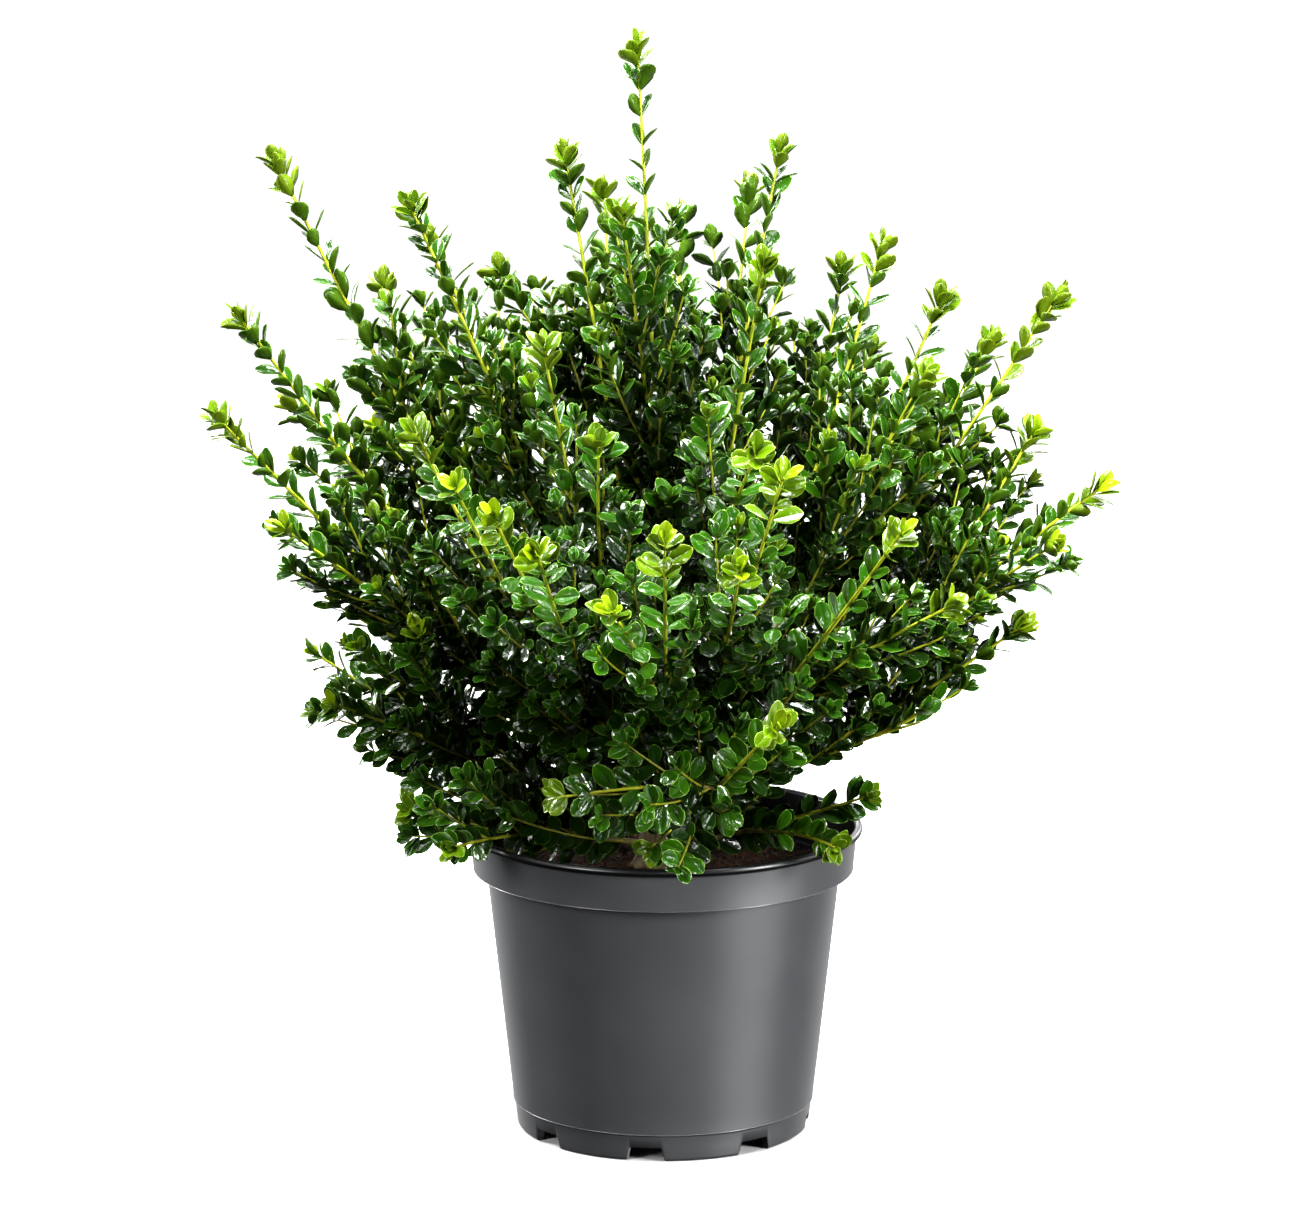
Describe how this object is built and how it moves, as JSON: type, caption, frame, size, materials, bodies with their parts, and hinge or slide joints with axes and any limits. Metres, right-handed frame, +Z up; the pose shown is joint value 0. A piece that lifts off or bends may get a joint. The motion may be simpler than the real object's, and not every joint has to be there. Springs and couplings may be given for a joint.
{
  "type": "potted compacta japanese holly",
  "caption": "Compact evergreen holly shrub with a short trunk, fanned boughs and leafy upright shoots, growing in a round nursery pot with a banded rim.",
  "frame": {"origin": "on the floor under the middle of the whole plant and of the pot's foot", "axes": "+Z up along the pot's axis and the leader; +X to the right and -Y towards the viewer in the picture"},
  "size_m": [0.5597, 0.5171, 0.6887],
  "materials": {
    "pot_plastic": "satin",
    "potting_soil": "matte",
    "trunk_bark": "matte",
    "bough_bark": "matte",
    "foliage": "gloss"
  },
  "bodies": {
    "root": {"bough_back_left": "bough_bark", "bough_back_low_left": "bough_bark", "bough_back_low_right": "bough_bark", "bough_back_middle": "bough_bark", "bough_back_right": "bough_bark", "bough_front_left": "bough_bark", "bough_front_mid_left": "bough_bark", "bough_front_mid_right": "bough_bark", "bough_front_middle": "bough_bark", "bough_front_right": "bough_bark", "bough_high_left": "bough_bark", "bough_high_right": "bough_bark", "bough_leader": "bough_bark", "bough_low_left": "bough_bark", "bough_low_right": "bough_bark", "bough_outer_left": "bough_bark", "bough_outer_right": "bough_bark", "bough_tall_left": "bough_bark", "bough_upper_right": "bough_bark", "bough_upright_back": "bough_bark", "bough_upright_front_left": "bough_bark", "bough_upright_front_right": "bough_bark", "bough_upright_left": "bough_bark", "bough_upright_right": "bough_bark", "bough_wide_left": "bough_bark", "bough_wide_right": "bough_bark", "foliage_back_left": "foliage", "foliage_back_low_left": "foliage", "foliage_back_low_right": "foliage", "foliage_back_middle": "foliage", "foliage_back_right": "foliage", "foliage_front_left": "foliage", "foliage_front_mid_left": "foliage", "foliage_front_mid_right": "foliage", "foliage_front_middle": "foliage", "foliage_front_right": "foliage", "foliage_high_left": "foliage", "foliage_high_right": "foliage", "foliage_leader": "foliage", "foliage_low_left": "foliage", "foliage_low_right": "foliage", "foliage_outer_left": "foliage", "foliage_outer_right": "foliage", "foliage_rim_front": "foliage", "foliage_rim_left": "foliage", "foliage_rim_right": "foliage", "foliage_tall_left": "foliage", "foliage_upper_right": "foliage", "foliage_upright_back": "foliage", "foliage_upright_front_left": "foliage", "foliage_upright_front_right": "foliage", "foliage_upright_left": "foliage", "foliage_upright_right": "foliage", "foliage_wide_left": "foliage", "foliage_wide_right": "foliage", "pot": "pot_plastic", "soil": "potting_soil", "trunk": "trunk_bark"}
  },
  "joints": []
}
